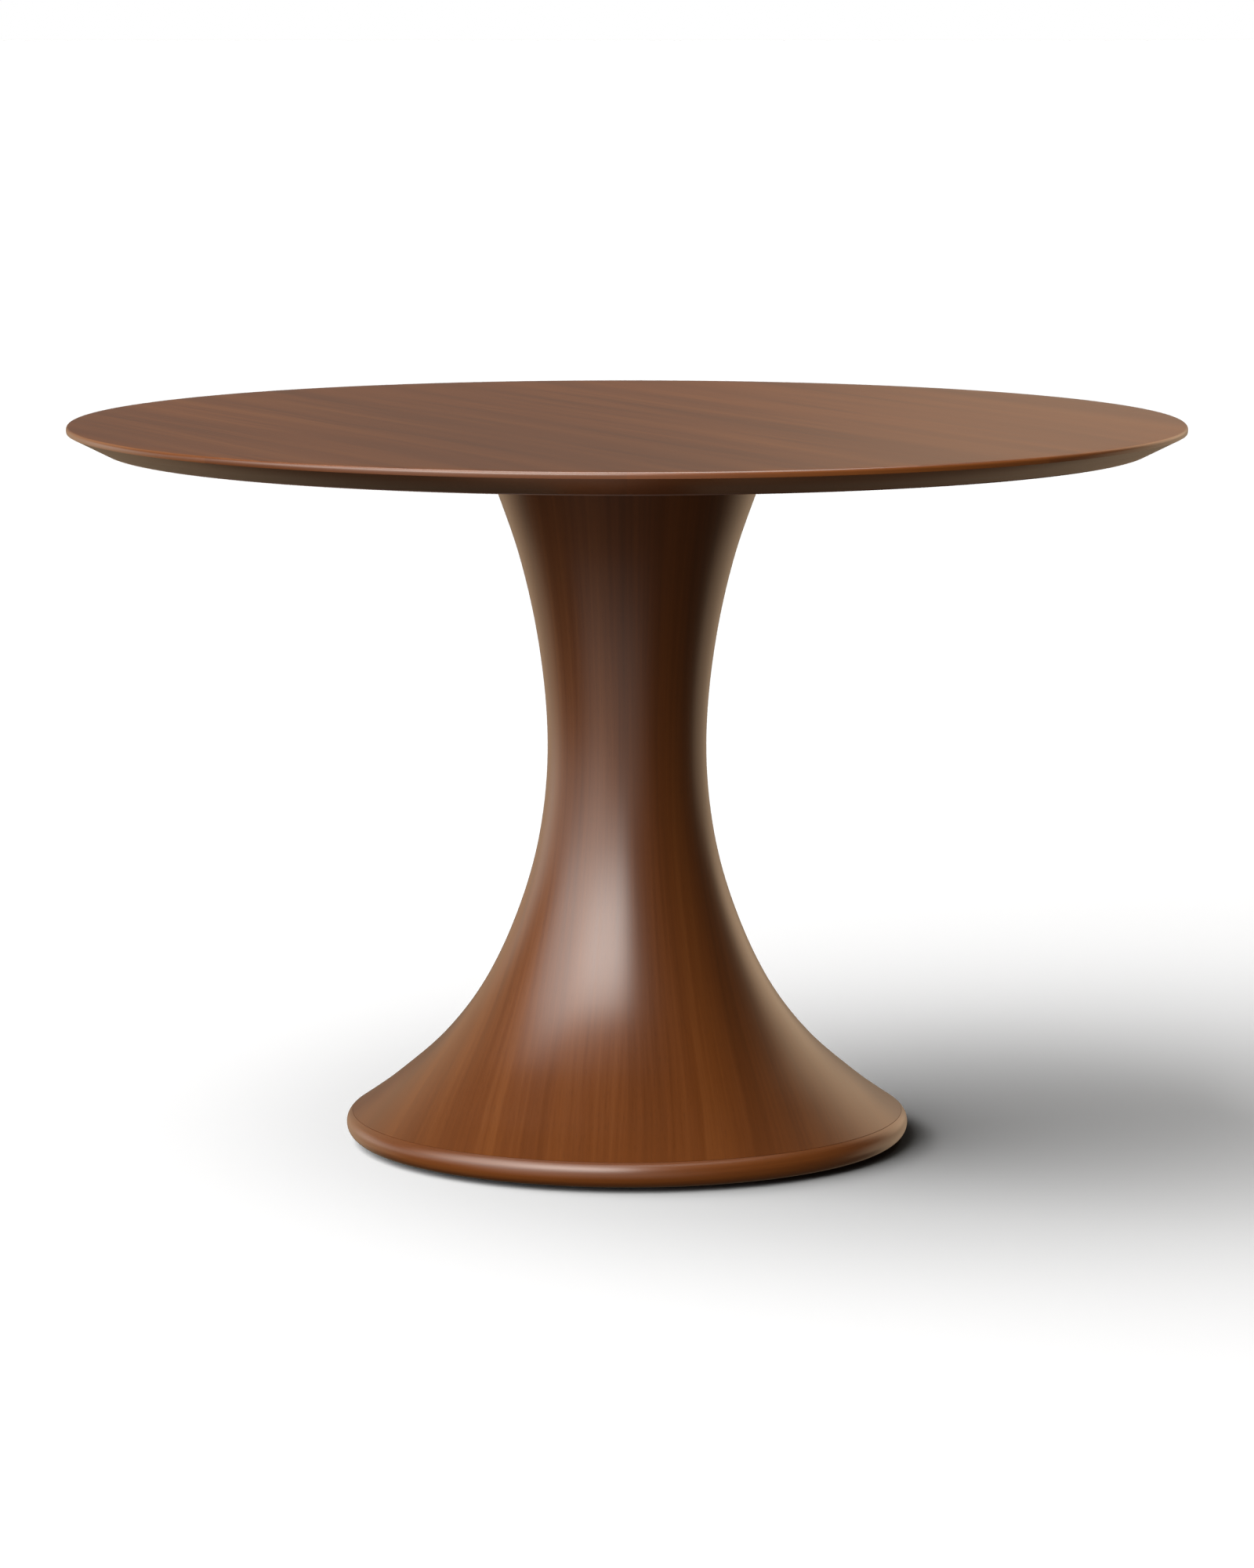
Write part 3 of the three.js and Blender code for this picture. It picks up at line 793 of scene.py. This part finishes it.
def make_camera():
    data = bpy.data.cameras.new("camera")
    data.lens = CAMERA_LENS
    data.sensor_width = CAMERA_FRAME
    data.clip_end = 200
    camera = linked("camera", data)
    camera.location = (0, -CAMERA_DISTANCE, CAMERA_HEIGHT)
    camera.rotation_euler = (math.radians(90 - CAMERA_DOWN), 0, 0)
    bpy.context.scene.camera = camera


def sky_direction(azimuth, elevation):
    """Unit vector, in degrees from the camera's side, positive towards +X, and above level."""
    a, e = math.radians(azimuth), math.radians(elevation)
    return Vector((math.sin(a) * math.cos(e), -math.cos(a) * math.cos(e), math.sin(e)))


def make_floor():
    """A dark floor in a strong light of its own. Its white comes nearly all from that light, so
    its shadow can be set without a change to the light on the table."""
    reach = FLOOR_REACH
    mesh = bpy.data.meshes.new("floor")
    corners = [(-reach, -reach, 0), (reach, -reach, 0), (reach, reach, 0), (-reach, reach, 0)]
    mesh.from_pydata(corners, [], [(0, 1, 2, 3)])
    floor = linked("floor", mesh)
    s = Shader("floor_paper")
    s.surface.inputs["Specular IOR Level"].default_value = 0
    mesh.materials.append(s.finish((FLOOR_TONE, FLOOR_TONE, FLOOR_TONE, 1), 1))
    floor.visible_diffuse = False
    floor.visible_glossy = False
    floor.visible_shadow = False

    lit = bpy.data.collections.new("lit_by_floor_light")
    lit.objects.link(floor)
    light = linked("floor_light", bpy.data.lights.new("floor_light", "SUN"))
    light.data.angle = math.radians(FLOOR_LIGHT["softness"])
    light.data.energy = FLOOR_LIGHT["strength"]
    towards = sky_direction(FLOOR_LIGHT["azimuth"], FLOOR_LIGHT["elevation"])
    light.rotation_euler = towards.to_track_quat("Z", "Y").to_euler()
    light.light_linking.receiver_collection = lit


class Sky(Nodes):
    """A dim studio with large soft panels far away, each given by its directions in degrees."""

    def __init__(self):
        world = bpy.data.worlds.new("studio")
        bpy.context.scene.world = world
        world.use_nodes = True
        super().__init__(world.node_tree)
        place = self.nodes.new("ShaderNodeTexCoord").outputs["Generated"]
        parts = self.nodes.new("ShaderNodeSeparateXYZ")
        self.links.new(place, parts.inputs["Vector"])
        x, y, z = parts.outputs
        away = self.math("MULTIPLY", y, -1)
        self.azimuth = self.math("MULTIPLY", self.math("ARCTAN2", x, away), 180 / math.pi)
        self.elevation = self.math("MULTIPLY", self.math("ARCSINE", z, 0), 180 / math.pi)

    def edge(self, value, place, softness, is_upper):
        """Fades from 1 to 0 round a place, or from 0 to 1 if it is the lower edge."""
        node = self.nodes.new("ShaderNodeMapRange")
        node.interpolation_type = "SMOOTHSTEP"
        self.links.new(value, node.inputs["Value"])
        node.inputs["From Min"].default_value = place - softness / 2
        node.inputs["From Max"].default_value = place + softness / 2
        node.inputs["To Min"].default_value = 1 if is_upper else 0
        node.inputs["To Max"].default_value = 0 if is_upper else 1
        return node.outputs["Result"]

    def panel(self, sideways, upwards, soft_sideways, soft_upwards, strength, both_sides=False):
        """A panel between two azimuths and two elevations, with a soft width for each edge.
        Azimuths run from the camera's side to 180 behind, and are negative on its left."""
        azimuth = self.math("ABSOLUTE", self.azimuth, 0) if both_sides else self.azimuth
        share = strength
        for value, places, softness in ((azimuth, sideways, soft_sideways),
                                        (self.elevation, upwards, soft_upwards)):
            for place, soft, is_upper in zip(places, softness, (False, True)):
                share = self.math("MULTIPLY", self.edge(value, place, soft, is_upper), share)
        return share

    def light(self, colour, ambient, panels):
        """Panels of one colour, and the same light from everywhere at the ambient strength."""
        total = ambient
        for panel in panels:
            total = self.math("ADD", panel, total)
        background = self.nodes.new("ShaderNodeBackground")
        background.inputs["Color"].default_value = (*colour, 1)
        self.links.new(total, background.inputs["Strength"])
        return background.outputs["Background"]

    def finish(self, first, second):
        """Adds two lights up, and shows plain white to the camera itself."""
        both = self.nodes.new("ShaderNodeAddShader")
        self.links.new(first, both.inputs[0])
        self.links.new(second, both.inputs[1])
        white = self.nodes["Background"]
        white.inputs["Color"].default_value = (1, 1, 1, 1)
        choice = self.nodes.new("ShaderNodeMixShader")
        to_camera = self.nodes.new("ShaderNodeLightPath").outputs["Is Camera Ray"]
        self.links.new(to_camera, choice.inputs["Fac"])
        self.links.new(both.outputs["Shader"], choice.inputs[1])
        self.links.new(white.outputs["Background"], choice.inputs[2])
        self.links.new(choice.outputs["Shader"], self.nodes["World Output"].inputs["Surface"])


def make_light():
    sky = Sky()
    wide_key = sky.panel((-88, -1), (10, 56), (36, 6), (20, 16), 3.0)
    bright_key = sky.panel((-50, 2), (24, 46), (40, 8), (18, 16), 3.7)
    overhead = sky.panel((-200, 200), (62, 100), (2, 2), (16, 2), 4.1)
    low_front = sky.panel((-60, 20), (-30, 8), (30, 40), (16, 8), 0.42)
    low_left = sky.panel((-140, -30), (-8, 10), (20, 20), (8, 8), 0.60)
    backdrop = sky.panel((160, 190), (0, 36), (12, 2), (6, 20), 0.08, both_sides=True)
    low_sides = sky.panel((112, 165), (-26, 0), (10, 12), (12, 6), 0.52, both_sides=True)
    low_behind = sky.panel((165, 190), (-26, 0), (12, 2), (12, 6), 0.22, both_sides=True)
    wall_left = sky.panel((-162, -122), (0, 36), (12, 20), (6, 20), 0.45)
    wall_right = sky.panel((131, 160), (0, 36), (16, 12), (6, 20), 1.00)
    wall_glow = sky.panel((158, 178), (0, 36), (12, 4), (6, 20), 0.20)
    cool_panels = (wide_key, bright_key, overhead, low_front, low_left, backdrop)
    warm_panels = (low_sides, low_behind, wall_left, wall_right, wall_glow)
    sky.finish(sky.light(COOL, 0, cool_panels), sky.light(WARM, 0.045, warm_panels))


bpy.context.scene.view_settings.view_transform = "Standard"
make_camera()
make_floor()
make_light()
make_top()
make_mounting()
make_staves()
make_ribs()
make_base()
make_tie_rod()
make_levellers()
